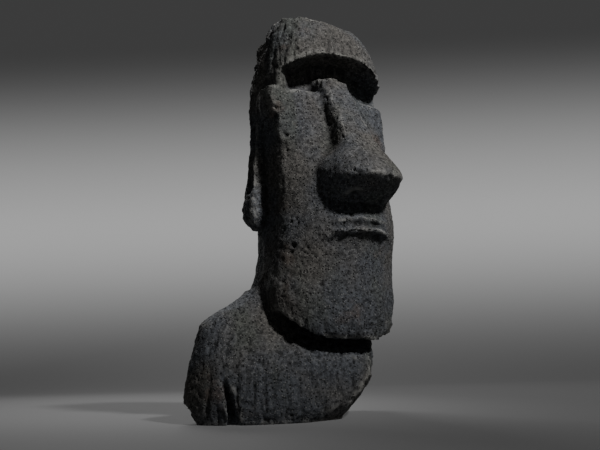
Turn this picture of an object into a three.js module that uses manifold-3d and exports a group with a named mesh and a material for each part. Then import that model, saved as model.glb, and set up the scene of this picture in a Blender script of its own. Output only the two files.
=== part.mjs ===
// Moai bust: an ancestor figure's head, neck and chest carved from one block of basalt.
// Sizes are in millimetres. +Z is up from the flat underside, the figure looks along -Y,
// and -X is its right. The Z axis runs up the middle of the head.
import * as THREE from 'three';
import { mergeVertices } from 'three/addons/utils/BufferGeometryUtils.js';
import Module from 'manifold-3d';

const wasm = await Module();
wasm.setup();

// Heights above the underside.
const CROWN_Z = 1202;
const BROW_Z = 1069;
const CHEEK_Z = 958;
const EAR_TOP_Z = 1028;
const NOSE_TOP_Z = 1004;
const NOSE_TIP_Z = 662;
const NOSE_BASE_Z = 596;
const LOBE_Z = 545;
const MOUTH_Z = 532;
const CHIN_Z = 213;
const SHOULDER_Z = 282;
const CHEST_Z = 176;
const NECK_ROOT_Z = 372;

// Half-widths from the middle plane.
const BROW_HALF = 204;
const HEAD_HALF = 198;
const FACE_HALF = 202;
const NOSE_HALF = 119;
const MOUTH_HALF = 140;
const SHOULDER_HALF = 376;
const BASE_HALF = 424;

// Depths along Y, in front (-) and behind (+).
const BROW_Y = -124;
const FACE_EDGE_Y = -56;
const NOSE_TIP_Y = -296;
const LIP_Y = -220;
const CHIN_Y = -166;
const CHEST_Y = -140;
const NECK_Y = -30;
const BACK_Y = 196;

// The break that took the figure's left shoulder: a point on it, and its direction in plan.
const BREAK_POINT = [112, -44];
const BREAK_TURN = THREE.MathUtils.degToRad(54);

// The two steps broken from the crown: the heights of their treads, and the way they face in plan.
const UPPER_STEP_Z = 1168;
const LOWER_STEP_Z = 1045;
const CROWN_BREAK = [-0.84, 0.54];

// How far a point may move when needless ones are taken out of the finished surface.
const MESH_EASE = 0.4;

/** A smooth curve through [height, value] knots, level beyond its ends. */
function profile(...knots) {
  const heights = knots.map(([height]) => height);
  const values = knots.map(([, value]) => value);
  const curve = new THREE.CubicInterpolant(heights, values, 1);
  const [low, high] = [heights[0], heights[heights.length - 1]];
  return (height) => curve.evaluate(THREE.MathUtils.clamp(height, low, high))[0];
}

/** Evenly spaced heights from low up to, but not including, high. */
function steps(low, high, count) {
  return Array.from({ length: count }, (_, i) => low + ((high - low) * i) / count);
}

/** Turns a closed geometry into a solid. */
function solid(geometry) {
  const bare = geometry.clone();
  bare.deleteAttribute('normal');
  bare.deleteAttribute('uv');
  const merged = mergeVertices(bare, 1e-3);
  return new wasm.Manifold(new wasm.Mesh({
    numProp: 3,
    vertProperties: new Float32Array(merged.attributes.position.array),
    triVerts: new Uint32Array(merged.index.array),
  }));
}

/**
 * A point on a rounded outline. `waist` is the Y of its widest line, and `squareFront` and
 * `squareBack` say how boxy it is on either side of that line (2 is an ellipse). A `bow`
 * over 1 widens the curve and cuts it off at `half`, which leaves straight sides.
 */
function onOutline(angle, { middle = 0, half, front, back, waist, squareFront, squareBack, bow = 1 }) {
  const across = Math.cos(angle);
  const along = Math.sin(angle);
  const power = 2 / (along < 0 ? squareFront : squareBack);
  const reach = along < 0 ? waist - front : back - waist;
  const x = half * bow * Math.sign(across) * Math.abs(across) ** power;
  const y = waist + reach * Math.sign(along) * Math.abs(along) ** power;
  return [middle + THREE.MathUtils.clamp(x, -half, half), y];
}

/**
 * A closed column with one outline at each height. `sides` is a multiple of four,
 * `section(z)` gives the outline, and `lift(x, y, z)` moves its points up or down, for
 * ends that aren't level.
 */
function column(sides, heights, section, lift = () => 0) {
  const geometry = new THREE.CylinderGeometry(1, 1, 1, sides, heights.length - 1);
  const position = geometry.attributes.position;
  for (let i = 0; i < position.count; i += 1) {
    const level = Math.round((position.getY(i) + 0.5) * (heights.length - 1));
    const turn = Math.atan2(-position.getZ(i), position.getX(i)) / (2 * Math.PI);
    const step = (Math.round(turn * sides) + sides) % sides;
    const isAxis = Math.hypot(position.getX(i), position.getZ(i)) < 0.5;
    const z = heights[level];
    const shape = section(z);
    const axis = [shape.middle ?? 0, (shape.front + shape.back) / 2];
    const [x, y] = isAxis ? axis : onOutline((step * 2 * Math.PI) / sides, shape);
    position.setXYZ(i, x, y, z + lift(x, y, z));
  }
  return solid(geometry);
}

/** An ellipsoid with the given centre and half-sizes. */
function ellipsoid([x, y, z], [a, b, c], sides = 16) {
  const ball = new THREE.SphereGeometry(1, sides, Math.round(sides * 0.6));
  ball.scale(a, b, c);
  ball.translate(x, y, z);
  return solid(ball);
}

/** An upright prism on an outline in plan. */
function prism(outline, low, high) {
  const shape = new THREE.Shape(outline.map(([x, y]) => new THREE.Vector2(x, y)));
  const geometry = new THREE.ExtrudeGeometry(shape, { depth: high - low, bevelEnabled: false });
  geometry.translate(0, 0, low);
  return solid(geometry);
}

/** The same solid on the figure's right and left. */
function bothSides(make) {
  return make(-1).add(make(1));
}

/** The chest, shoulders and arms, rising to the root of the neck. */
function torso() {
  const half = profile([0, BASE_HALF - 14], [50, BASE_HALF], [150, 408], [225, 390],
    [SHOULDER_Z, SHOULDER_HALF - 10], [310, 322], [335, 268], [372, 230]);
  const front = profile([0, CHEST_Y + 14], [24, CHEST_Y + 3], [90, CHEST_Y], [150, CHEST_Y + 3],
    [CHEST_Z, CHEST_Y + 16], [215, -78], [260, -40], [372, -20]);
  const back = profile([0, BACK_Y - 10], [30, BACK_Y], [140, BACK_Y], [240, 184], [372, 160]);
  const heights = [0, 16, ...steps(45, 168, 3), ...steps(168, 372, 8), 372];
  return column(56, heights, (z) => ({
    half: half(z),
    front: front(z),
    back: back(z),
    waist: 92,
    squareFront: 2.25,
    squareBack: 3,
  }));
}

/** The neck and the back and sides of the head. */
function skull() {
  const half = profile([250, 240], [340, 228], [416, 206], [480, 189], [560, 187], [700, 192],
    [900, HEAD_HALF], [1000, HEAD_HALF], [1070, 186]);
  const back = profile([250, 172], [400, 160], [600, 172], [800, BACK_Y - 4], [950, BACK_Y],
    [1010, BACK_Y - 6], [1070, BACK_Y - 20]);
  return column(40, [...steps(250, 1070, 13), 1070], (z) => ({
    half: half(z),
    front: NECK_Y,
    back: back(z),
    waist: 70,
    squareFront: 4,
    squareBack: 3,
  }));
}

/** The face without nose and lips: chin, jaw, muzzle, cheeks and the sockets under the brow. */
function face() {
  const half = profile([CHIN_Z, 200], [260, 205], [330, 206], [420, 200], [500, 196], [560, 200],
    [680, 197], [830, FACE_HALF - 2], [930, FACE_HALF + 2], [1060, HEAD_HALF - 6]);
  const middle = profile([CHIN_Z, -17], [330, -16], [500, 0], [560, 6], [700, 3], [830, 0], [930, -6],
    [1060, -4]);
  const front = profile([CHIN_Z, CHIN_Y + 8], [238, CHIN_Y - 4], [320, CHIN_Y - 8], [440, CHIN_Y - 9],
    [484, -188], [510, -197], [550, -198], [590, -186], [640, -172], [760, -136], [880, -98],
    [934, -86], [CHEEK_Z, -70], [CHEEK_Z + 14, -10], [CHEEK_Z + 34, 22], [1060, 24]);
  const heights = [...steps(CHIN_Z, 260, 3), ...steps(260, 480, 5), ...steps(480, 600, 6),
    ...steps(600, 910, 7), ...steps(910, 990, 7), 990, 1060];
  const back = profile([CHIN_Z, -8], [320, 6], [420, 38], [520, 68], [560, 76], [1060, 76]);
  const jawRise = 78;
  return column(52, heights, (z) => {
    const waist = back(z) - 14;
    const edge = Math.min((waist - FACE_EDGE_Y) / (waist - front(z)), 0.92);
    return {
      middle: middle(z),
      half: half(z),
      front: front(z),
      back: back(z),
      waist,
      squareFront: 2,
      squareBack: 6,
      bow: 1 / Math.sqrt(1 - edge ** 2),
    };
  }, (x, y, z) => {
    const nearChin = THREE.MathUtils.clamp((400 - z) / (400 - CHIN_Z), 0, 1);
    const outward = (Math.abs(x - middle(z)) / FACE_HALF) ** 4;
    return nearChin * (jawRise * outward + 14 * THREE.MathUtils.smoothstep(y, CHIN_Y, NECK_Y));
  });
}

/** The right cheekbone's outer corner, still whole where the face's edge below it has worn back. */
function cheekCorner() {
  const half = profile([870, 8], [900, 24], [CHEEK_Z, 30]);
  return column(12, [...steps(870, CHEEK_Z, 5), CHEEK_Z + 4], (z) => ({
    middle: -FACE_HALF,
    half: half(z),
    front: FACE_EDGE_Y - 4,
    back: 40,
    waist: -14,
    squareFront: 3,
    squareBack: 2,
  }));
}

/** The flat-topped forehead, whose lower edge overhangs the sockets as an arched brow. */
function forehead() {
  const base = 1030;
  const half = profile([base, BROW_HALF], [1080, BROW_HALF - 9], [1130, 182], [1170, 168],
    [CROWN_Z, 148]);
  const middle = profile([base, -6], [1130, -14], [CROWN_Z, -16]);
  const front = profile([base, BROW_Y], [1060, BROW_Y + 1], [1120, -108], [1170, -88],
    [CROWN_Z, -62]);
  const back = profile([base, BACK_Y - 6], [1100, BACK_Y - 14], [1160, 170], [CROWN_Z, 140]);
  const heights = [...steps(base, 1130, 3), ...steps(1130, CROWN_Z, 4), CROWN_Z];
  return column(48, heights, (z) => ({
    middle: middle(z),
    half: half(z),
    front: front(z),
    back: back(z),
    waist: 30,
    squareFront: 3.1,
    squareBack: 2.8,
  }), (x, y, z) => {
    const nearBrow = (CROWN_Z - z) / (CROWN_Z - base);
    const arch = BROW_Z - base - 64 * (Math.abs(x) / BROW_HALF) ** 2.2;
    return nearBrow * arch - (1 - nearBrow) * 0.03 * x;
  });
}

/**
 * The wedge that closes a socket at the temple, between the brow's end and the cheekbone.
 * Its face slants back into the socket. The figure's left one is cut deeper.
 */
function temple(side) {
  const front = side > 0 ? FACE_EDGE_Y + 32 : FACE_EDGE_Y - 2;
  const outline = [[199, front + 12], [188, front], [168, front + 4], [100, 24], [100, 50], [199, 50]];
  return prism(outline.map(([x, y]) => [side * x - 3, y]), CHEEK_Z - 60, BROW_Z - 10);
}

/**
 * The long nose: a flat bridge, square at its top, that widens and stands out to a broad tip
 * between its wings.
 */
function nose() {
  const half = profile([NOSE_BASE_Z, 92], [612, 108], [636, NOSE_HALF - 2], [690, NOSE_HALF], [718, 108],
    [740, 86], [762, 68], [800, 60], [860, 56], [931, 55], [NOSE_TOP_Z, 53]);
  const front = profile([NOSE_BASE_Z, -204], [625, -256], [NOSE_TIP_Z - 10, NOSE_TIP_Y + 3],
    [NOSE_TIP_Z + 12, NOSE_TIP_Y + 5], [710, -256], [784, -208], [931, -126], [NOSE_TOP_Z, -98]);
  const waist = profile([NOSE_BASE_Z, -120], [720, -140], [770, -150], [860, -112], [931, -80],
    [NOSE_TOP_Z, -50]);
  const middle = profile([784, 0], [931, -8], [NOSE_TOP_Z, -15]);
  const square = profile([NOSE_BASE_Z, 2.3], [700, 2.6], [780, 3.4], [NOSE_TOP_Z, 3.6]);
  const heights = [...steps(NOSE_BASE_Z, 780, 9), ...steps(780, NOSE_TOP_Z, 6), NOSE_TOP_Z];
  const body = column(36, heights, (z) => ({
    middle: middle(z),
    half: half(z),
    front: front(z),
    back: 30,
    waist: waist(z),
    squareFront: square(z),
    squareBack: 6,
  }), (x, y, z) => {
    const nearTop = THREE.MathUtils.smoothstep(z, NOSE_TOP_Z - 44, NOSE_TOP_Z);
    return nearTop * (0.25 * (y + 98) - 9 * ((x - middle(z)) / 54) ** 2);
  });
  const nostril = (side) => ellipsoid([side * 54, -222, 596], [26, 34, 24], 12);
  return body.subtract(bothSides(nostril));
}

/** One lip: a thin ledge that stands out from the muzzle and droops at its ends. */
function lip(middle, thickness, reach) {
  const heights = [-0.5, -0.25, 0.25, 0.5].map((share) => middle + share * thickness);
  return column(40, heights, (z) => {
    const edge = (Math.abs(z - middle) / thickness) * 2;
    return {
      half: MOUTH_HALF - 8 * edge ** 2,
      front: reach + 12 * edge ** 2,
      back: -50,
      waist: -96,
      squareFront: 2,
      squareBack: 3,
    };
  }, (x) => -16 * (Math.abs(x) / MOUTH_HALF) ** 2);
}

/** A long ear with a raised rim round a sunk middle, and a heavier lobe at the bottom. */
function ear(side) {
  const outer = profile([LOBE_Z, 222], [570, 239], [602, 245], [650, 237], [740, 225], [840, 217],
    [1000, 215], [EAR_TOP_Z, 208]);
  const front = profile([LOBE_Z, 56], [585, 34], [640, 38], [740, 42], [900, 34], [990, 28],
    [EAR_TOP_Z, 46]);
  const back = profile([LOBE_Z, 92], [585, 112], [640, 108], [740, 104], [900, 112], [990, 114],
    [EAR_TOP_Z, 98]);
  const shell = column(20, [...steps(LOBE_Z, 620, 4), ...steps(620, EAR_TOP_Z, 8), EAR_TOP_Z], (z) => ({
    middle: side * (outer(z) - 30),
    half: 30,
    front: front(z),
    back: back(z),
    waist: 72,
    squareFront: 3,
    squareBack: 3,
  }));
  const rim = 15;
  const sunk = column(12, [...steps(650, 980, 6), 980], (z) => ({
    middle: side * (outer(z) + 6),
    half: 17,
    front: front(z) + rim,
    back: back(z) - rim,
    waist: 72,
    squareFront: 3,
    squareBack: 3,
  }));
  return shell.subtract(sunk);
}

/** The groove between the figure's right arm and its chest, slanting in towards the foot. */
function armGroove() {
  const middle = profile([-10, -342], [60, -354], [150, -376]);
  const half = profile([-10, 15], [60, 10], [150, 4]);
  return column(8, [-10, 20, 60, 105, 150], (z) => ({
    middle: middle(z),
    half: half(z),
    front: -90,
    back: -6 - 0.1 * z,
    waist: -40,
    squareFront: 2,
    squareBack: 2,
  }));
}

/** A half-space for cutting: all that lies beyond a plane, given by a point and its normal. */
function beyond([x, y, z], normal, size = 900) {
  const box = new THREE.BoxGeometry(size, size, size);
  box.translate(0, 0, size / 2);
  const direction = new THREE.Vector3(...normal).normalize();
  box.applyQuaternion(new THREE.Quaternion().setFromUnitVectors(new THREE.Vector3(0, 0, 1), direction));
  box.translate(x, y, z);
  return solid(box);
}

/** The break that took the figure's left shoulder, with its worn lower edge. */
function lostShoulder() {
  const [x, y] = BREAK_POINT;
  const out = [Math.sin(BREAK_TURN), -Math.cos(BREAK_TURN)];
  const breakFace = ({ inward, height, fall }) => (
    beyond([x - out[0] * inward, y - out[1] * inward, height], [...out, -fall])
  );
  const upright = breakFace({ inward: 3, height: 130, fall: 0.02 });
  const wornEdge = breakFace({ inward: 17, height: 84, fall: 0.5 });
  const lowestEdge = breakFace({ inward: 42, height: 50, fall: 1.1 });
  const underNeck = breakFace({ inward: 0, height: NECK_ROOT_Z - 36, fall: 0.9 });
  return upright.add(wornEdge).add(lowestEdge).intersect(underNeck);
}

/** A step broken from the crown's back corner: what lies above its tread and outside its riser. */
function brokenStep(foot, treadNormal) {
  return beyond(foot, treadNormal).intersect(beyond(foot, [...CROWN_BREAK, 0.05]));
}

/** The crown's back corner, broken away behind the right temple in two steps and a worn top edge. */
function brokenCrown() {
  const upperStep = brokenStep([-143, 100, UPPER_STEP_Z], [-0.7, 0.1, 1]);
  const lowerStep = brokenStep([-141, 168, LOWER_STEP_Z], [-0.2, 0.1, 1]);
  const topEdge = beyond([-143, 100, CROWN_Z - 17], [...CROWN_BREAK, 1.1]);
  return upperStep.add(lowerStep).add(topEdge);
}

/** The worn foot: the arm's outer corner, and the underside of the chest, curving up to its left. */
function wornFoot() {
  const arm = beyond([-BASE_HALF, 70, 26], [-1, 0.9, -1.3]);
  const chest = beyond([-250, CHEST_Y + 5, 0], [0.2, -0.7, -1]);
  const corner = beyond([-18, CHEST_Y + 5, 57], [0.95, -0.8, -1]);
  return arm.add(chest).add(corner);
}

/** The solid as a mesh with flat faces. */
function faceted(body) {
  const { vertProperties, triVerts, numProp } = body.getMesh();
  const geometry = new THREE.BufferGeometry();
  const points = new Float32Array((vertProperties.length / numProp) * 3);
  for (let i = 0; i < points.length / 3; i += 1) {
    points.set(vertProperties.subarray(i * numProp, i * numProp + 3), i * 3);
  }
  geometry.setAttribute('position', new THREE.BufferAttribute(points, 3));
  geometry.setIndex(new THREE.BufferAttribute(triVerts, 1));
  return geometry;
}

/** The whole figure, carved from one block, with its breaks. */
function carvedBlock() {
  const body = torso().add(skull()).subtract(lostShoulder());
  const upperLip = lip(MOUTH_Z + 15, 18, LIP_Y + 8);
  const lowerLip = lip(MOUTH_Z - 16, 20, LIP_Y);
  const brow = [forehead(), bothSides(temple), cheekCorner()];
  const features = [face(), ...brow, nose(), upperLip, lowerLip, bothSides(ear)];
  const whole = features.reduce((joined, feature) => joined.add(feature), body);
  return whole.subtract(armGroove()).subtract(brokenCrown()).subtract(wornFoot())
    .simplify(MESH_EASE);
}

const basalt = new THREE.MeshStandardMaterial({ color: 0x3a3a3c, roughness: 0.92, metalness: 0 });
const moaiBust = new THREE.Mesh(faceted(carvedBlock()), basalt);
moaiBust.name = 'moai_bust';

const moai = new THREE.Group();
moai.add(moaiBust);
export default moai;
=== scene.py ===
"""A moai bust carved from one block of pitted basalt, standing in a plain studio.

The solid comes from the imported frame. Its facets are smoothed away, the stone's tool marks, pits
and worn edges are cut into the surface, and the block is dressed in weathered basalt.
All sizes are in metres.
"""

import logging
import math
from dataclasses import dataclass
from enum import Enum
from typing import Any

import bpy
import numpy as np
from mathutils import Matrix, Vector


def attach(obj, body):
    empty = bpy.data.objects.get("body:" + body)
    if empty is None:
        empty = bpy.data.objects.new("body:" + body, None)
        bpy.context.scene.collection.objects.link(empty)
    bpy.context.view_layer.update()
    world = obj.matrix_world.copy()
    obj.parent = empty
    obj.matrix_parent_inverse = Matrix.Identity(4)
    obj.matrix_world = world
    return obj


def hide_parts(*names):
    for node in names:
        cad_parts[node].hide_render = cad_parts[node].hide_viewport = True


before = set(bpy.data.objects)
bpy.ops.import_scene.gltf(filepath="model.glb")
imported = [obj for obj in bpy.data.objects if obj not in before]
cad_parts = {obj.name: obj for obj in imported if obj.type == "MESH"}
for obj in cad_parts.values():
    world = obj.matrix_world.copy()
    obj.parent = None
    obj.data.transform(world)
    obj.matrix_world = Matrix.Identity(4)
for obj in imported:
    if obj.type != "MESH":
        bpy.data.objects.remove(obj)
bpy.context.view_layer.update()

Array = np.ndarray
Colour = tuple[float, float, float, float]
LOG = logging.getLogger("moai")

BLOCK_NODE = "moai_bust"
BODY = "root"


class Mark(str, Enum):
    """The measures that the stone's surface carries at each of its points."""

    WEAR = "wear"
    RUIN = "ruin"
    SEAT = "seat"
    HOLLOW = "hollow"
    PIT = "pit"


class Desk:
    """Adds nodes to a tree and joins them."""

    def __init__(self, tree: bpy.types.NodeTree) -> None:
        """Starts with an empty tree.

        Args:
            tree: The tree to fill.
        """
        self.tree = tree
        tree.nodes.clear()

    def add(self, kind: str, inputs: dict[Any, Any] | None = None, **settings: Any) -> bpy.types.Node:
        """Adds a node.

        Args:
            kind: The node's type.
            inputs: A value, or a socket to join, for each input by name or number.
            settings: The node's own settings.

        Returns:
            The new node.
        """
        node = self.tree.nodes.new(kind)
        for name, value in settings.items():
            setattr(node, name, value)
        for key, value in (inputs or {}).items():
            if isinstance(value, bpy.types.NodeSocket):
                self.tree.links.new(value, node.inputs[key])
            else:
                node.inputs[key].default_value = value
        return node

    def sum(self, operation: str, first: Any, second: Any = 0.0) -> bpy.types.NodeSocket:
        """Works out a number from two others.

        Args:
            operation: The operation, such as "MULTIPLY".
            first: The first number or socket.
            second: The second number or socket.

        Returns:
            The socket that carries the result.
        """
        return self.add("ShaderNodeMath", {0: first, 1: second}, operation=operation).outputs[0]

    def ramp(
        self, value: Any, low: float, high: float, start: float = 0.0, end: float = 1.0
    ) -> bpy.types.NodeSocket:
        """Eases a number from start to end as it goes from low to high.

        Args:
            value: The socket to read.
            low: Where the rise begins.
            high: Where it ends.
            start: The result at low.
            end: The result at high.

        Returns:
            The socket that carries the result.
        """
        inputs = {"Value": value, "From Min": low, "From Max": high, "To Min": start, "To Max": end}
        return self.add("ShaderNodeMapRange", inputs, interpolation_type="SMOOTHSTEP").outputs["Result"]

    def stretch(
        self, place: Any, scale: tuple[float, float, float], shift: Any = None
    ) -> bpy.types.NodeSocket:
        """Scales a place along each axis, after moving it.

        Args:
            place: The socket with the place.
            scale: The scale along X, Y and Z.
            shift: A socket or vector added first, if any.

        Returns:
            The socket that carries the result.
        """
        moved = place
        if shift is not None:
            moved = self.add("ShaderNodeVectorMath", {0: place, 1: shift}, operation="ADD").outputs[0]
        return self.add("ShaderNodeVectorMath", {0: moved, 1: scale}, operation="MULTIPLY").outputs[0]

    def noise(
        self, place: Any, scale: float, detail: float = 2.0, roughness: float = 0.5
    ) -> bpy.types.NodeSocket:
        """A cloudy pattern between 0 and 1.

        Args:
            place: The socket with the place.
            scale: Clouds in a metre.
            detail: How many finer layers it has.
            roughness: How strong they are.

        Returns:
            The socket that carries the pattern.
        """
        inputs = {"Vector": place, "Scale": scale, "Detail": detail, "Roughness": roughness}
        return self.add("ShaderNodeTexNoise", inputs).outputs["Fac"]

    def cells(self, place: Any, scale: Any) -> tuple[bpy.types.NodeSocket, bpy.types.NodeSocket]:
        """Scattered points, as the distance to the nearest and a number of its own.

        Args:
            place: The socket with the place.
            scale: Cells in a metre.

        Returns:
            The distance, in cells, and a random number between 0 and 1 for each cell.
        """
        node = self.add("ShaderNodeTexVoronoi", {"Vector": place, "Scale": scale})
        share = self.add("ShaderNodeSeparateXYZ", {0: node.outputs["Color"]})
        return node.outputs["Distance"], share.outputs[0]


class Skin:
    """The points and edges of a mesh, for smoothing it and for finding its edges and hollows."""

    def __init__(self, mesh: bpy.types.Mesh) -> None:
        """Reads the mesh.

        Args:
            mesh: The mesh to read, and later to change.
        """
        self.mesh = mesh
        self.points = self._read(mesh.vertices, "co", 3)
        edges = np.empty(len(mesh.edges) * 2, np.int32)
        mesh.edges.foreach_get("vertices", edges)
        self.starts, self.ends = edges.reshape(-1, 2).T

    @staticmethod
    def _read(items: Any, name: str, width: int) -> Array:
        """Reads one property of every item into an array of rows.

        Args:
            items: The points, edges or normals to read.
            name: The property's name.
            width: How many numbers each item has.

        Returns:
            A row of numbers for each item.
        """
        values = np.empty(len(items) * width, np.float32)
        items.foreach_get(name, values)
        return values.reshape(-1, width).astype(float)

    def normals(self) -> Array:
        """The outward direction at each point, after the mesh takes the points."""
        self.write()
        return self._read(self.mesh.vertex_normals, "vector", 3)

    def write(self) -> None:
        """Puts the points back into the mesh."""
        self.mesh.vertices.foreach_set("co", self.points.astype(np.float32).ravel())
        self.mesh.update()

    def near(self, values: Array, weight: Array) -> Array:
        """The weighted mean of each point's neighbours.

        Args:
            values: A row of numbers for each point.
            weight: A weight for each edge.

        Returns:
            A row of means for each point.
        """
        count = len(values)
        total = np.bincount(self.starts, weight, count) + np.bincount(self.ends, weight, count)
        columns = [
            np.bincount(self.starts, weight * column[self.ends], count)
            + np.bincount(self.ends, weight * column[self.starts], count)
            for column in values.T
        ]
        return np.stack(columns, axis=1) / np.maximum(total, 1e-9)[:, None]

    def ease(self, rounds: int, rate: float = 0.6) -> None:
        """Smooths everything alike.

        Args:
            rounds: How many times each point moves.
            rate: The share of the way to its neighbours' mean that it moves.
        """
        even = np.ones(len(self.starts))
        for _ in range(rounds):
            self.points += rate * (self.near(self.points, even) - self.points)

    def fair(self, rounds: int, crease: float, rate: float = 0.8) -> None:
        """Smooths the faces between creases and leaves the creases.

        Args:
            rounds: How many times each point moves.
            crease: The turn in radians between neighbours that counts as a crease.
            rate: The share of the way to its neighbours' mean that it moves.
        """
        refresh = 20
        for step in range(rounds):
            if step % refresh == 0:
                weight, freedom = self._freedom(crease)
            self.points += rate * freedom * (self.near(self.points, weight) - self.points)

    def _freedom(self, crease: float) -> tuple[Array, Array]:
        """How freely the surface may move: not across a crease.

        Args:
            crease: The turn in radians between neighbours that counts as a crease.

        Returns:
            A weight for each edge, and a share from 0 to 1 for each point.
        """
        normals = self.normals()
        across = 1 - np.einsum("ij,ij->i", normals[self.starts], normals[self.ends])
        weight = np.exp(-across / (crease**2 / 2)) + 1e-4
        least = np.ones(len(normals))
        np.minimum.at(least, self.starts, weight)
        np.minimum.at(least, self.ends, weight)
        return weight, least[:, None]

    def swell(self, rounds: int) -> Array:
        """How far each point stands out of its surroundings, in metres.

        Args:
            rounds: How wide the surroundings are, in smoothing rounds.

        Returns:
            A distance for each point, below zero in a hollow.
        """
        even = np.ones(len(self.starts))
        around = self.points.copy()
        for _ in range(rounds):
            around += 0.7 * (self.near(around, even) - around)
        return np.einsum("ij,ij->i", self.points - around, self.normals())

    def mark(self, name: Mark, values: Array) -> None:
        """Keeps a number for each point in the mesh.

        Args:
            name: The measure's name.
            values: A number for each point.
        """
        layer = self.mesh.attributes.get(name.value)
        layer = layer or self.mesh.attributes.new(name.value, "FLOAT", "POINT")
        layer.data.foreach_set("value", values.astype(np.float32))


@dataclass(frozen=True)
class Basalt:
    """Dark, matte, pitted basalt, greyed and dusty on its worn edges, partly as a painted highlight, with
    painted shade in its pits, pores and hollows.
    """

    warm: Colour = (0.064, 0.060, 0.055, 1.0)
    cool: Colour = (0.049, 0.052, 0.058, 1.0)
    moss: Colour = (0.048, 0.053, 0.044, 1.0)
    rust: Colour = (0.070, 0.049, 0.037, 1.0)
    pale_dust_and_highlight: Colour = (0.260, 0.254, 0.236, 1.0)
    painted_shade_black: Colour = (0.008, 0.008, 0.008, 1.0)
    roughness: float = 0.9
    specular: float = 0.25
    speck_cells: float = 190.0
    pore_cells: float = 140.0
    grain: float = 420.0
    bump_depth: float = 0.0032

    def _blend(
        self, desk: Desk, share: Any, first: Any, second: Any, kind: str = "MIX"
    ) -> bpy.types.NodeSocket:
        """Mixes two colours by a share.

        Args:
            desk: The material's nodes.
            share: How much of the second colour there is, from 0 to 1.
            first: The first colour or socket.
            second: The second colour or socket.
            kind: How they are mixed.

        Returns:
            The socket that carries the mixed colour.
        """
        inputs = {0: share, 6: first, 7: second}
        node = desk.add("ShaderNodeMix", inputs, data_type="RGBA", blend_type=kind, clamp_factor=True)
        return node.outputs[2]

    def material(self) -> bpy.types.Material:
        """Builds the stone.

        Returns:
            The material.
        """
        stone = bpy.data.materials.new("basalt")
        stone.use_nodes = True
        desk = Desk(stone.node_tree)
        place = desk.add("ShaderNodeTexCoord").outputs["Object"]
        colour, pores = self._colour(desk, place)
        shader = desk.add("ShaderNodeBsdfPrincipled", {
            "Base Color": colour,
            "Roughness": self.roughness,
            "Specular IOR Level": self.specular,
            "Normal": self._relief(desk, place, pores),
        })
        desk.add("ShaderNodeOutputMaterial", {"Surface": shader.outputs[0]})
        return stone

    def _attribute(self, desk: Desk, name: Mark) -> bpy.types.NodeSocket:
        """Reads one of the surface's measures."""
        return desk.add("ShaderNodeAttribute", attribute_name=name.value).outputs["Fac"]

    def _colour(self, desk: Desk, place: Any) -> tuple[bpy.types.NodeSocket, bpy.types.NodeSocket]:
        """The stone's colour, with painted shade in its pits, pores and hollows and a painted highlight on
        its worn edges, and how deep its pores are.

        Args:
            desk: The material's nodes.
            place: The socket with the place on the stone.

        Returns:
            The sockets that carry the colour and the pores' depth.
        """
        drift = desk.ramp(desk.noise(place, 4.5, 3.0), 0.40, 0.62)
        body = self._blend(desk, drift, self.cool, self.warm)
        stain = desk.ramp(desk.noise(desk.stretch(place, (9.0, 9.0, 2.6)), 1.0, 3.0), 0.52, 0.70)
        body = self._blend(desk, desk.sum("MULTIPLY", stain, 0.55), body, self.moss)
        iron = desk.ramp(desk.noise(place, 7.0, 4.0, 0.6), 0.60, 0.74)
        body = self._blend(desk, desk.sum("MULTIPLY", iron, 0.55), body, self.rust)
        mottle = desk.ramp(desk.noise(place, 95.0, 4.0, 0.75), 0.34, 0.66, 0.46, 1.60)
        shade = desk.add("ShaderNodeCombineColor", {0: mottle, 1: mottle, 2: mottle}).outputs[0]
        body = self._blend(desk, 1.0, body, shade, "MULTIPLY")

        speck_gap, speck_luck = desk.cells(place, self.speck_cells)
        speck = desk.sum("MULTIPLY", desk.ramp(speck_gap, 0.40, 0.18), desk.ramp(speck_luck, 0.50, 0.85))
        body = self._blend(desk, desk.sum("MULTIPLY", speck, 0.50), body, self.pale_dust_and_highlight)

        # Partly real dust on worn edges and partly painted highlight: convex edges are greyed, which also
        # stands in for the bright edges that light picks out.
        wear = desk.ramp(self._attribute(desk, Mark.WEAR), 0.1, 0.9)
        powder = desk.ramp(desk.noise(place, 24.0, 6.0, 0.8), 0.42, 0.62)
        edge_dust_and_highlight = desk.sum("MULTIPLY", desk.sum("MULTIPLY", wear, powder), 0.6)
        body = self._blend(desk, edge_dust_and_highlight, body, self.pale_dust_and_highlight)

        # Painted shade: pores, pits and small hollows are darkened towards near black, for the shade that
        # falls in them.
        pore_gap, pore_luck = desk.cells(place, self.pore_cells)
        pores = desk.sum("MULTIPLY", desk.ramp(pore_gap, 0.46, 0.16), desk.ramp(pore_luck, 0.44, 0.68))
        hollow = desk.ramp(self._attribute(desk, Mark.HOLLOW), 0.1, 1.0)
        pit = desk.ramp(self._attribute(desk, Mark.PIT), 0.15, 0.9)
        painted_shade = desk.sum("MAXIMUM", desk.sum("MULTIPLY", pores, 0.85), desk.sum("MULTIPLY", hollow, 0.6))
        painted_shade = desk.sum("MAXIMUM", painted_shade, desk.sum("MULTIPLY", pit, 0.7))
        return self._blend(desk, painted_shade, body, self.painted_shade_black), pores

    def _relief(self, desk: Desk, place: Any, pores: Any) -> bpy.types.NodeSocket:
        """The grain that is finer than the mesh, as a bent normal.

        Args:
            desk: The material's nodes.
            place: The socket with the place on the stone.
            pores: The socket with the pores' depth.

        Returns:
            The socket that carries the normal.
        """
        grain = desk.noise(place, self.grain, 4.0, 0.7)
        pecks = desk.noise(place, 120.0, 3.0, 0.6)
        height = desk.sum("ADD", desk.sum("MULTIPLY", grain, 0.35), desk.sum("MULTIPLY", pecks, 0.65))
        height = desk.sum("SUBTRACT", height, desk.sum("MULTIPLY", pores, 0.8))
        inputs = {"Height": height, "Strength": 0.9, "Distance": self.bump_depth}
        return desk.add("ShaderNodeBump", inputs).outputs["Normal"]


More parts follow.
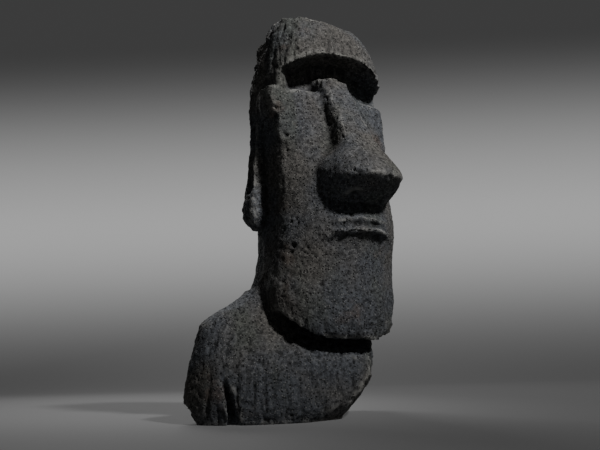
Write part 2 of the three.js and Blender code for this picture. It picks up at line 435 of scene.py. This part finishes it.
@dataclass(frozen=True)
class Tooling:
    """What the mason and the weather cut into the surface, made with Geometry Nodes."""

    seed: float = 17.0
    undulation: float = 0.0026
    pecking: float = 0.0021
    streaks: float = 0.0058
    face_low: float = 0.24
    face_high: float = 1.04
    pit_cell: float = 0.026
    pit_depth: float = 0.0055
    pock_cell: float = 0.0135
    pock_depth: float = 0.0036
    wear_depth: float = 0.0062
    ruin_depth: float = 0.011

    def cut(self, block: bpy.types.Object, stone: bpy.types.Material) -> None:
        """Cuts the relief into a block, whose surface is marked with its wear, ruin and seat.

        Args:
            block: The object whose mesh is replaced by the cut one.
            stone: The material of the cut surface.
        """
        tree = self._tree()
        modifier = block.modifiers.new("tooling", "NODES")
        modifier.node_group = tree
        values = {
            "Seed": self.seed,
            "Undulation": self.undulation,
            "Pecking": self.pecking,
            "Streaks": self.streaks,
            "Face Low": self.face_low,
            "Face High": self.face_high,
            "Pit Cell": self.pit_cell,
            "Pit Depth": self.pit_depth,
            "Pock Cell": self.pock_cell,
            "Pock Depth": self.pock_depth,
            "Wear Depth": self.wear_depth,
            "Ruin Depth": self.ruin_depth,
            "Stone": stone,
        }
        for item in tree.interface.items_tree:
            if item.name in values:
                modifier[item.identifier] = values[item.name]
        bake(block)
        bpy.data.node_groups.remove(tree)

    def _tree(self) -> bpy.types.NodeTree:
        """Builds the node tree that moves each point along its normal.

        Returns:
            The tree, with named inputs for its sizes.
        """
        tree = bpy.data.node_groups.new("tooling", "GeometryNodeTree")
        desk = Desk(tree)
        tree.interface.new_socket("Geometry", in_out="INPUT", socket_type="NodeSocketGeometry")
        tree.interface.new_socket("Geometry", in_out="OUTPUT", socket_type="NodeSocketGeometry")
        for name in ("Seed", "Undulation", "Pecking", "Streaks", "Face Low", "Face High", "Pit Cell",
                     "Pit Depth", "Pock Cell", "Pock Depth", "Wear Depth", "Ruin Depth"):
            tree.interface.new_socket(name, in_out="INPUT", socket_type="NodeSocketFloat")
        tree.interface.new_socket("Stone", in_out="INPUT", socket_type="NodeSocketMaterial")
        given = desk.add("NodeGroupInput").outputs

        shift = desk.add("ShaderNodeCombineXYZ", {0: given["Seed"], 1: given["Seed"], 2: given["Seed"]})
        position = desk.add("GeometryNodeInputPosition").outputs[0]
        place = desk.stretch(position, (1.0, 1.0, 1.0), shift.outputs[0])
        wear = self._measure(desk, Mark.WEAR)
        ruin = self._measure(desk, Mark.RUIN)
        seat = self._measure(desk, Mark.SEAT)

        waves = self._signed(desk, desk.noise(place, 7.5, 2.0), given["Undulation"])
        pecks = self._signed(desk, desk.noise(place, 42.0, 4.0, 0.6), given["Pecking"])
        runs = desk.ramp(desk.noise(desk.stretch(place, (52.0, 52.0, 6.0)), 1.0, 2.0), 0.46, 0.66)
        runs = desk.sum("MULTIPLY", runs, desk.ramp(desk.noise(place, 5.0, 1.0), 0.26, 0.48))
        level = desk.add("ShaderNodeSeparateXYZ", {0: position}).outputs["Z"]
        above = desk.sum("SUBTRACT", level, given["Face High"])
        below = desk.sum("SUBTRACT", given["Face Low"], level)
        off_face = desk.ramp(desk.sum("MAXIMUM", above, below), -0.06, 0.02, 0.12, 1.0)
        runs = desk.sum("MULTIPLY", desk.sum("MULTIPLY", runs, off_face), given["Streaks"])
        pits, pit_shape = self._pits(desk, place, given["Pit Cell"], given["Pit Depth"], 0.62)
        pocks, pock_shape = self._pits(desk, place, given["Pock Cell"], given["Pock Depth"], 0.50)
        bites = desk.ramp(desk.noise(place, 24.0, 3.0, 0.6), 0.42, 0.66)
        bites = desk.sum("MULTIPLY", desk.sum("MULTIPLY", bites, wear), given["Wear Depth"])
        rubble = self._signed(desk, desk.noise(place, 19.0, 4.0, 0.65), given["Ruin Depth"])
        rubble = desk.sum("MULTIPLY", rubble, ruin)

        height = desk.sum("ADD", desk.sum("ADD", waves, pecks), rubble)
        for cut in (runs, pits, pocks, bites):
            height = desk.sum("SUBTRACT", height, cut)
        height = desk.sum("MULTIPLY", height, seat)
        normal = desk.add("GeometryNodeInputNormal").outputs[0]
        offset = desk.add("ShaderNodeVectorMath", {0: normal, "Scale": height}, operation="SCALE").outputs[0]

        # The pits' shapes are kept for the colour, which paints shade into them.
        pit = desk.sum("MAXIMUM", pit_shape, pock_shape)
        kept = desk.add("GeometryNodeStoreNamedAttribute", {
            "Geometry": given["Geometry"], "Name": Mark.PIT.value, "Value": pit,
        }, data_type="FLOAT", domain="POINT")
        moved = desk.add("GeometryNodeSetPosition", {"Geometry": kept.outputs[0], "Offset": offset})
        real = desk.add("GeometryNodeRealizeInstances", {"Geometry": moved.outputs[0]})
        dressed = desk.add("GeometryNodeSetMaterial", {
            "Geometry": real.outputs[0], "Material": given["Stone"],
        })
        desk.add("NodeGroupOutput", {"Geometry": dressed.outputs[0]})
        return tree

    @staticmethod
    def _measure(desk: Desk, name: Mark) -> bpy.types.NodeSocket:
        """Reads one of the surface's measures."""
        node = desk.add("GeometryNodeInputNamedAttribute", {"Name": name.value}, data_type="FLOAT")
        return node.outputs["Attribute"]

    @staticmethod
    def _signed(desk: Desk, pattern: Any, depth: Any) -> bpy.types.NodeSocket:
        """A pattern that goes both ways from the surface, depth at its most."""
        return desk.sum("MULTIPLY", desk.ramp(pattern, 0.2, 0.8, -1.0, 1.0), depth)

    @staticmethod
    def _pits(
        desk: Desk, place: Any, cell: Any, depth: Any, bare: float
    ) -> tuple[bpy.types.NodeSocket, bpy.types.NodeSocket]:
        """Gas pits in the share of the cells that isn't bare.

        Args:
            desk: The relief's nodes.
            place: The socket with the place on the stone.
            cell: The size of a cell.
            depth: The depth of a pit.
            bare: The share of the cells without a pit.

        Returns:
            The sockets that carry the pits' depths, and their shapes from 0 to 1.
        """
        gap, luck = desk.cells(place, desk.sum("DIVIDE", 1.0, cell))
        bowl = desk.ramp(gap, 0.40, 0.12)
        chosen = desk.ramp(luck, bare, bare + 0.3)
        clusters = desk.ramp(desk.noise(place, 9.0, 2.0), 0.38, 0.58)
        shape = desk.sum("MULTIPLY", desk.sum("MULTIPLY", bowl, chosen), clusters)
        return desk.sum("MULTIPLY", shape, depth), shape


def bake(piece: bpy.types.Object) -> None:
    """Turns a piece's modifiers into a plain mesh and removes them.

    Args:
        piece: The object whose mesh is replaced.
    """
    bpy.context.view_layer.update()
    shown = piece.evaluated_get(bpy.context.evaluated_depsgraph_get())
    mesh = bpy.data.meshes.new_from_object(shown)
    old = piece.data
    piece.modifiers.clear()
    piece.data = mesh
    bpy.data.meshes.remove(old)


@dataclass
class MoaiBust:
    """The carved block: smoothed, tooled, worn and dressed."""

    voxel: float = 0.0036
    quick_voxel: float = 0.0060
    facet_reach: float = 0.024
    crease: float = math.radians(7.0)
    soften: int = 3
    most_triangles: int = 190_000
    crown_ruin: Vector = Vector((-0.15, 0.10, 1.13))
    crown_reach: float = 0.16
    break_point: Vector = Vector((0.112, -0.044, 0.0))
    break_turn: float = math.radians(54.0)
    break_reach: float = 0.02

    def build(self, finish: Basalt, tooling: Tooling) -> bpy.types.Object:
        """Makes the bust and hands it to the frame.

        Args:
            finish: The stone that it is dressed in.
            tooling: The relief cut into its surface.

        Returns:
            The finished piece.
        """
        piece = self._block()
        stone = finish.material()
        self._smooth(piece)
        tooling.cut(piece, stone)
        self._thin(piece)
        self._settle(piece)
        piece.data.materials.clear()
        piece.data.materials.append(stone)
        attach(piece, BODY)
        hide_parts(BLOCK_NODE)
        return piece

    def _block(self) -> bpy.types.Object:
        """Copies the solid, merges its points and gives it an even skin.

        Returns:
            The new object.
        """
        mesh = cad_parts[BLOCK_NODE].data.copy()
        piece = bpy.data.objects.new("carved_bust", mesh)
        bpy.context.scene.collection.objects.link(piece)
        weld = piece.modifiers.new("weld", "WELD")
        weld.merge_threshold = 1e-5
        remesh = piece.modifiers.new("even skin", "REMESH")
        remesh.mode = "VOXEL"
        remesh.voxel_size = self.voxel
        bake(piece)
        return piece

    def _smooth(self, piece: bpy.types.Object) -> None:
        """Takes the facets away, softens the creases and marks wear, ruin and seat.

        Args:
            piece: The block to smooth.
        """
        voxel = self.voxel
        skin = Skin(piece.data)
        seated = skin.points[:, 2] < voxel
        skin.ease(2)
        skin.fair(int((self.facet_reach / voxel) ** 2 * 2.2), self.crease)
        skin.ease(self.soften)
        skin.points[seated, 2] = 0.0
        skin.points[:, 2] = np.maximum(skin.points[:, 2], 0.0)
        wear = np.clip(skin.swell(int((0.022 / voxel) ** 2)) / 0.004, 0, 1)
        skin.mark(Mark.WEAR, wear)
        skin.mark(Mark.RUIN, self._ruin(skin.points))
        skin.mark(Mark.SEAT, np.where(seated, 0.0, 1.0))
        skin.write()

    def _ruin(self, points: Array) -> Array:
        """How broken the stone is at each point: on the crown's steps and on the lost shoulder.

        Args:
            points: The surface's points.

        Returns:
            A share from 0 to 1 for each point.
        """
        crown = np.linalg.norm(points - np.array(self.crown_ruin), axis=1) / self.crown_reach
        out = np.array((math.sin(self.break_turn), -math.cos(self.break_turn)))
        beyond = (points[:, :2] - np.array(self.break_point)[:2]) @ out
        on_break = (beyond > -self.break_reach) & (points[:, 2] < 0.34)
        return np.clip(np.maximum(1.3 - crown, np.where(on_break, 0.6, 0.0)), 0, 1)

    def _thin(self, piece: bpy.types.Object) -> None:
        """Takes points away where the surface is plain.

        Args:
            piece: The block to thin.
        """
        triangles = sum(len(face.vertices) - 2 for face in piece.data.polygons)
        if triangles <= self.most_triangles:
            return
        thin = piece.modifiers.new("thin", "DECIMATE")
        thin.ratio = self.most_triangles / triangles
        bake(piece)

    def _settle(self, piece: bpy.types.Object) -> None:
        """Sets the underside flat on the ground, marks the hollows for the painted shade in the stone's
        colour and turns shading smooth.

        Args:
            piece: The block to settle.
        """
        skin = Skin(piece.data)
        skin.points[:, 2] = np.maximum(skin.points[:, 2], 0.0)
        # The hollow measure darkens the stone's colour there: painted shade.
        skin.mark(Mark.HOLLOW, np.clip(-skin.swell(10) / 0.003, 0, 1))
        skin.write()
        piece.data.shade_smooth()


@dataclass
class Studio:
    """The sweep of the backdrop, the lights and the camera."""

    sweep_half: float = 9.0
    sweep_back: float = 2.6
    sweep_bend: float = 1.6
    sweep_top: float = 7.0
    sweep_steps: int = 16
    sweep_colour: Colour = (0.07, 0.07, 0.07, 1.0)
    band_height: float = 1.25
    band_reach: float = 2.0
    band_glow: float = 0.42
    edge_glow: float = 0.045
    floor_glow: float = 0.35
    sky: Colour = (0.97, 0.99, 1.0, 1.0)
    light_below: float = 0.14
    light_above: float = 0.03
    aim: Vector = Vector((0.0, -0.1, 1.08))
    key_towards: Vector = Vector((0.13, -0.80, 0.68))
    key_distance: float = 7.0
    key_size: float = 0.35
    key_cone: float = math.radians(17.5)
    key_power: float = 3000.0
    rim_from: Vector = Vector((0.5, 2.6, 2.6))
    rim_size: float = 1.6
    rim_power: float = 60.0
    camera_turn: float = math.radians(-35.0)
    camera_distance: float = 2.1
    camera_height: float = 0.15
    camera_pan: float = math.radians(2.27)
    camera_tilt: float = math.radians(11.3)
    camera_roll: float = math.radians(1.5)
    lens: float = 42.0

    def build(self) -> None:
        """Sets the whole studio up."""
        self._sweep()
        self._sky()
        self._key()
        self._rim()
        self._camera()

    def _sweep(self) -> None:
        """Hangs the plain backdrop, which bends from the floor up into the wall."""
        line = [(-self.sweep_half, 0.0)]
        for step in range(self.sweep_steps + 1):
            angle = math.pi / 2 * step / self.sweep_steps
            line.append((
                self.sweep_back + self.sweep_bend * math.sin(angle),
                self.sweep_bend * (1 - math.cos(angle)),
            ))
        line.append((self.sweep_back + self.sweep_bend, self.sweep_top))
        points = [(side * self.sweep_half, y, z) for y, z in line for side in (-1, 1)]
        faces = [(at, at + 1, at + 3, at + 2) for at in range(0, len(points) - 2, 2)]
        mesh = bpy.data.meshes.new("sweep")
        mesh.from_pydata(points, [], faces)
        mesh.shade_smooth()
        mesh.materials.append(self._paper())
        sweep = bpy.data.objects.new("sweep", mesh)
        sweep.rotation_euler.z = self.camera_turn
        sweep.visible_diffuse = False
        bpy.context.scene.collection.objects.link(sweep)

    def _paper(self) -> bpy.types.Material:
        """Paints the backdrop: grey, with painted light, as it glows in a paler band at the height of the
        head and less on the floor.

        Returns:
            The material.
        """
        paper = bpy.data.materials.new("grey paper")
        paper.use_nodes = True
        desk = Desk(paper.node_tree)
        place = desk.add("ShaderNodeTexCoord").outputs["Object"]
        height = desk.add("ShaderNodeSeparateXYZ", {0: place}).outputs["Z"]
        apart = desk.sum("ABSOLUTE", desk.sum("SUBTRACT", height, self.band_height))
        # Painted light: the backdrop glows most at the head's height and more dimly towards the floor.
        glow = desk.ramp(apart, 0.0, self.band_reach, self.band_glow, self.edge_glow)
        painted_glow = desk.sum("MULTIPLY", glow, desk.ramp(height, 0.0, self.sweep_bend, self.floor_glow))
        shader = desk.add("ShaderNodeBsdfPrincipled", {
            "Base Color": self.sweep_colour,
            "Roughness": 0.9,
            "Emission Color": (1.0, 1.0, 1.0, 1.0),
            "Emission Strength": painted_glow,
        })
        desk.add("ShaderNodeOutputMaterial", {"Surface": shader.outputs[0]})
        return paper

    def _sky(self) -> None:
        """Fills the shadows with a weak light, stronger from below, as off a lit floor."""
        world = bpy.data.worlds.new("studio")
        world.use_nodes = True
        desk = Desk(world.node_tree)
        way = desk.add("ShaderNodeTexCoord").outputs["Generated"]
        rise = desk.add("ShaderNodeSeparateXYZ", {0: way}).outputs["Z"]
        strength = desk.ramp(rise, -0.3, 0.3, self.light_below, self.light_above)
        background = desk.add("ShaderNodeBackground", {"Color": self.sky, "Strength": strength})
        desk.add("ShaderNodeOutputWorld", {"Surface": background.outputs[0]})
        bpy.context.scene.world = world

    def _key(self) -> None:
        """Hangs the spotlight in front of the figure, high above it and turned to its head."""
        light = bpy.data.lights.new("key", "SPOT")
        light.shadow_soft_size = self.key_size
        light.spot_size = self.key_cone
        light.spot_blend = 1.0
        light.energy = self.key_power
        towards = self.key_towards.normalized()
        self._hang(light, self.aim + towards * self.key_distance)

    def _rim(self) -> None:
        """Hangs a weak softbox behind the figure, which picks out its back edges."""
        light = bpy.data.lights.new("rim", "AREA")
        light.size = self.rim_size
        light.energy = self.rim_power
        self._hang(light, self.rim_from)

    def _hang(self, light: bpy.types.Light, place: Vector) -> None:
        """Puts a light in its place and turns it to the figure's head.

        Args:
            light: The light to hang.
            place: Where it hangs.
        """
        lamp = bpy.data.objects.new(light.name, light)
        lamp.location = place
        lamp.visible_camera = False
        lamp.rotation_euler = (place - self.aim).to_track_quat("Z", "Y").to_euler()
        bpy.context.scene.collection.objects.link(lamp)

    def _camera(self) -> None:
        """Stands the camera low, to the figure's right, looking up at it."""
        turn = self.camera_turn
        place = Vector((math.sin(turn), -math.cos(turn), 0.0)) * self.camera_distance
        place.z = self.camera_height
        heading = turn + self.camera_pan
        level = Vector((-math.sin(heading), math.cos(heading), 0.0))
        right = Vector((math.cos(heading), math.sin(heading), 0.0))
        up = Vector((0.0, 0.0, 1.0))
        forward = level * math.cos(self.camera_tilt) + up * math.sin(self.camera_tilt)
        top = up * math.cos(self.camera_tilt) - level * math.sin(self.camera_tilt)
        side = right * math.cos(self.camera_roll) - top * math.sin(self.camera_roll)
        top = right * math.sin(self.camera_roll) + top * math.cos(self.camera_roll)
        lens = bpy.data.cameras.new("camera")
        lens.lens = self.lens
        camera = bpy.data.objects.new("camera", lens)
        turned = Matrix((side, top, -forward)).transposed().to_4x4()
        camera.matrix_world = Matrix.Translation(place) @ turned
        bpy.context.scene.collection.objects.link(camera)
        bpy.context.scene.camera = camera


def main() -> None:
    """Builds the studio and the bust."""
    logging.basicConfig(level=logging.INFO, format="%(name)s: %(message)s")
    Studio().build()
    LOG.info("studio ready")
    bust = MoaiBust().build(Basalt(), Tooling())
    LOG.info("%s: %d faces", bust.name, len(bust.data.polygons))


if __name__ == "__main__":
    main()
